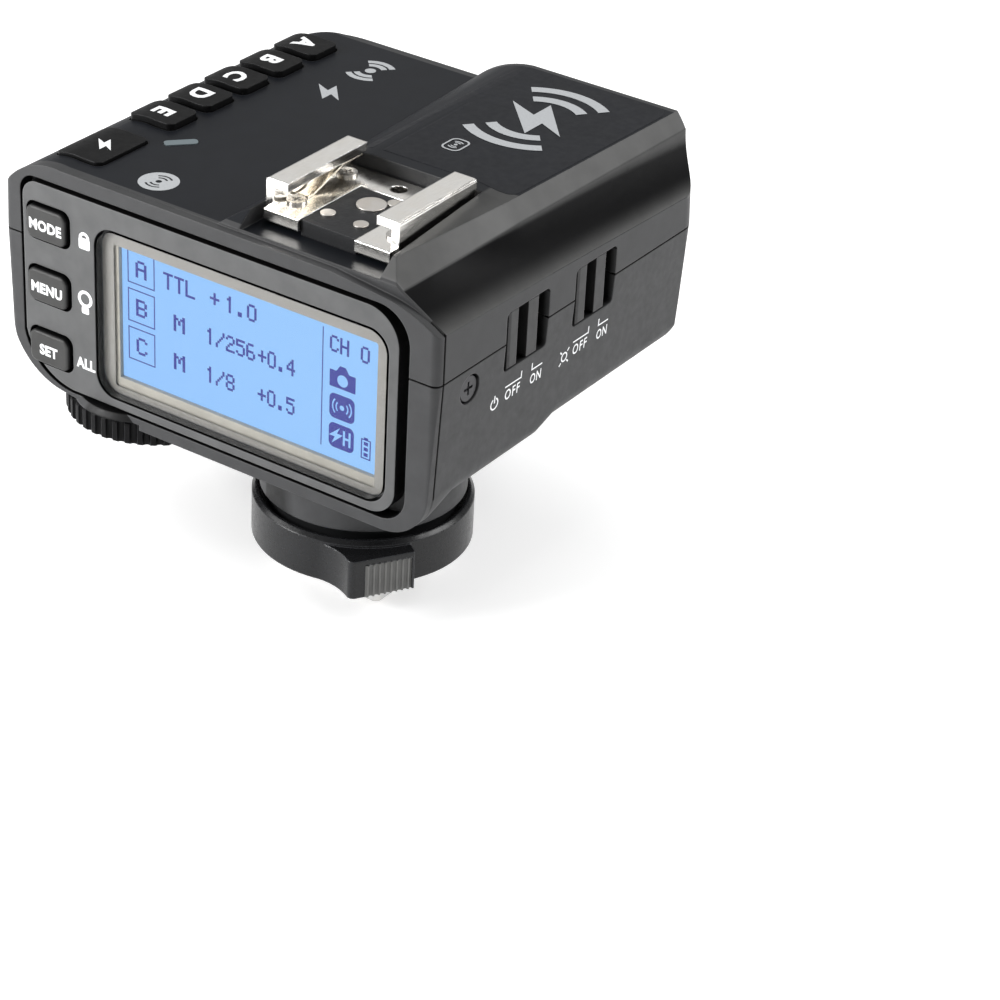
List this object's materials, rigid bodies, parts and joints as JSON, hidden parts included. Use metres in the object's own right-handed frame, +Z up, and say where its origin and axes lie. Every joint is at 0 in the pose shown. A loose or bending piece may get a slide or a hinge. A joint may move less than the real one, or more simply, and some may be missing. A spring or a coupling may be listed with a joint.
{
  "type": "wireless flash trigger",
  "caption": "Camera-top radio flash trigger with a rear display, side slide switches, a select dial, a pass-through shoe and a foot with a lock ring.",
  "frame": {"origin": "centre of the underside of the foot plate that slides into a camera's shoe", "axes": "+Z up along the lock ring's axis, +Y forward towards the subject, +X to the right as seen from behind the camera"},
  "size_m": [0.0711, 0.0643, 0.0573],
  "materials": {
    "cover_top": "satin dark moulded plastic, fine grain",
    "cover_low": "fine-textured dark grey moulded plastic",
    "face_plate": "fine-grained grey plastic",
    "lens": "clear window with printed border",
    "lcd_frame": "ivory moulding",
    "lcd": "lit blue display",
    "button": "soft dark rubberised plastic",
    "key": "satin black plastic",
    "lamp": "frosted light pipe",
    "assist": "dark red filter window",
    "slider": "satin black plastic",
    "nickel": "bright nickel-plated steel",
    "spring_steel": "thin spring steel",
    "insulator": "black moulded insulator",
    "contact": "gold-flashed contact metal",
    "screw": "blackened steel screw",
    "plain_screw": "bright steel screw",
    "foot_metal": "anodised plate",
    "ring": "satin black plastic",
    "grip": "fluted grey plastic",
    "dial": "ribbed black rubberised plastic",
    "shaft": "steel",
    "board": "green circuit board",
    "can": "tin-plated shield",
    "switch": "moulded switch body",
    "cell": "printed cell sleeve",
    "ceramic": "ceramic antenna",
    "led": "moulded lamp",
    "ribbon": "flexible circuit film",
    "door": "fine-textured dark grey moulded plastic"
  },
  "bodies": {
    "housing": {"top_cover": "cover_top", "bottom_cover": "cover_low", "rear_panel": "face_plate", "display_lens": "lens", "lcd_frame": "lcd_frame", "lcd_panel": "lcd", "status_lamp": "lamp", "assist_lens": "assist", "power_switch_body": "switch", "assist_switch_body": "switch", "shoe_rails": "nickel", "shoe_insert": "insulator", "shoe_contacts": "contact", "shoe_springs": "spring_steel", "shoe_screws": "plain_screw", "foot_plate": "foot_metal", "contact_carrier": "insulator", "foot_hub": "insulator", "foot_screws": "plain_screw", "dial_encoder": "can", "dial_board": "board", "battery_cells": "cell", "battery_contacts": "spring_steel", "main_board": "board", "board_screws": "plain_screw", "radio_module": "can", "antenna": "ceramic", "assist_led": "led", "rear_board": "board", "rear_switches": "can", "key_board": "board", "key_switches": "switch", "status_led": "led", "flex_ribbon": "ribbon", "port_board": "board", "usb_socket": "can", "sync_jack": "switch", "case_screws": "screw"},
    "mode_button": {"mode_button": "button"},
    "menu_button": {"menu_button": "button"},
    "set_button": {"set_button": "button"},
    "group_key_a": {"group_key_a": "key"},
    "group_key_b": {"group_key_b": "key"},
    "group_key_c": {"group_key_c": "key"},
    "group_key_d": {"group_key_d": "key"},
    "group_key_e": {"group_key_e": "key"},
    "test_button": {"test_button": "key"},
    "power_switch": {"power_switch": "slider"},
    "assist_lamp_switch": {"assist_lamp_switch": "slider"},
    "dial": {"select_dial": "dial", "dial_shaft": "shaft"},
    "ring": {"lock_ring": "ring", "ring_grip": "grip"},
    "lock_pin": {"lock_pin": "shaft"},
    "contact_pin_1": {"contact_pin_1": "contact"},
    "contact_pin_2": {"contact_pin_2": "contact"},
    "contact_pin_3": {"contact_pin_3": "contact"},
    "contact_pin_4": {"contact_pin_4": "contact"},
    "battery_door": {"battery_door": "door"}
  },
  "joints": [
    {"name": "mode_button_press", "type": "slide", "parent": "housing", "child": "mode_button", "axis": [0, 1, 0], "range_m": [0, 0.0005], "stiffness_N_per_m": 600, "springref_m": -0.001},
    {"name": "menu_button_press", "type": "slide", "parent": "housing", "child": "menu_button", "axis": [0, 1, 0], "range_m": [0, 0.0005], "stiffness_N_per_m": 600, "springref_m": -0.001},
    {"name": "set_button_press", "type": "slide", "parent": "housing", "child": "set_button", "axis": [0, 1, 0], "range_m": [0, 0.0005], "stiffness_N_per_m": 600, "springref_m": -0.001},
    {"name": "group_key_a_press", "type": "slide", "parent": "housing", "child": "group_key_a", "axis": [0, 0, -1], "range_m": [0, 0.00045], "stiffness_N_per_m": 600, "springref_m": -0.001},
    {"name": "group_key_b_press", "type": "slide", "parent": "housing", "child": "group_key_b", "axis": [0, 0, -1], "range_m": [0, 0.00045], "stiffness_N_per_m": 600, "springref_m": -0.001},
    {"name": "group_key_c_press", "type": "slide", "parent": "housing", "child": "group_key_c", "axis": [0, 0, -1], "range_m": [0, 0.00045], "stiffness_N_per_m": 600, "springref_m": -0.001},
    {"name": "group_key_d_press", "type": "slide", "parent": "housing", "child": "group_key_d", "axis": [0, 0, -1], "range_m": [0, 0.00045], "stiffness_N_per_m": 600, "springref_m": -0.001},
    {"name": "group_key_e_press", "type": "slide", "parent": "housing", "child": "group_key_e", "axis": [0, 0, -1], "range_m": [0, 0.00045], "stiffness_N_per_m": 600, "springref_m": -0.001},
    {"name": "test_button_press", "type": "slide", "parent": "housing", "child": "test_button", "axis": [0, 0, -1], "range_m": [0, 0.00045], "stiffness_N_per_m": 600, "springref_m": -0.001},
    {"name": "power_switch_slide", "type": "slide", "parent": "housing", "child": "power_switch", "axis": [0, 1, 0], "range_m": [0, 0.002]},
    {"name": "assist_lamp_switch_slide", "type": "slide", "parent": "housing", "child": "assist_lamp_switch", "axis": [0, 1, 0], "range_m": [0, 0.002]},
    {"name": "dial_turn", "type": "hinge", "parent": "housing", "child": "dial", "pos_m": [-0.0332, -0.003, 0.013], "axis": [0, 0, 1], "continuous": true},
    {"name": "ring_turn", "type": "hinge", "parent": "housing", "child": "ring", "pos_m": [0, 0, 0.0075], "axis": [0, 0, 1], "range_deg": [0, 70]},
    {"name": "lock_pin_retract", "type": "slide", "parent": "housing", "child": "lock_pin", "axis": [0, 0, 1], "range_m": [0, 0.0014]},
    {"name": "contact_pin_1_press", "type": "slide", "parent": "housing", "child": "contact_pin_1", "axis": [0, 0, 1], "range_m": [0, 0.0008], "stiffness_N_per_m": 500, "springref_m": -0.001},
    {"name": "contact_pin_2_press", "type": "slide", "parent": "housing", "child": "contact_pin_2", "axis": [0, 0, 1], "range_m": [0, 0.0008], "stiffness_N_per_m": 500, "springref_m": -0.001},
    {"name": "contact_pin_3_press", "type": "slide", "parent": "housing", "child": "contact_pin_3", "axis": [0, 0, 1], "range_m": [0, 0.0008], "stiffness_N_per_m": 500, "springref_m": -0.001},
    {"name": "contact_pin_4_press", "type": "slide", "parent": "housing", "child": "contact_pin_4", "axis": [0, 0, 1], "range_m": [0, 0.0008], "stiffness_N_per_m": 500, "springref_m": -0.001},
    {"name": "battery_door_slide", "type": "slide", "parent": "housing", "child": "battery_door", "axis": [0, 1, 0], "range_m": [0, 0.03]}
  ],
  "couplings": [
    {"joint": "lock_pin_retract", "follows": "ring_turn", "m_per_rad": 0.0011459}
  ]
}
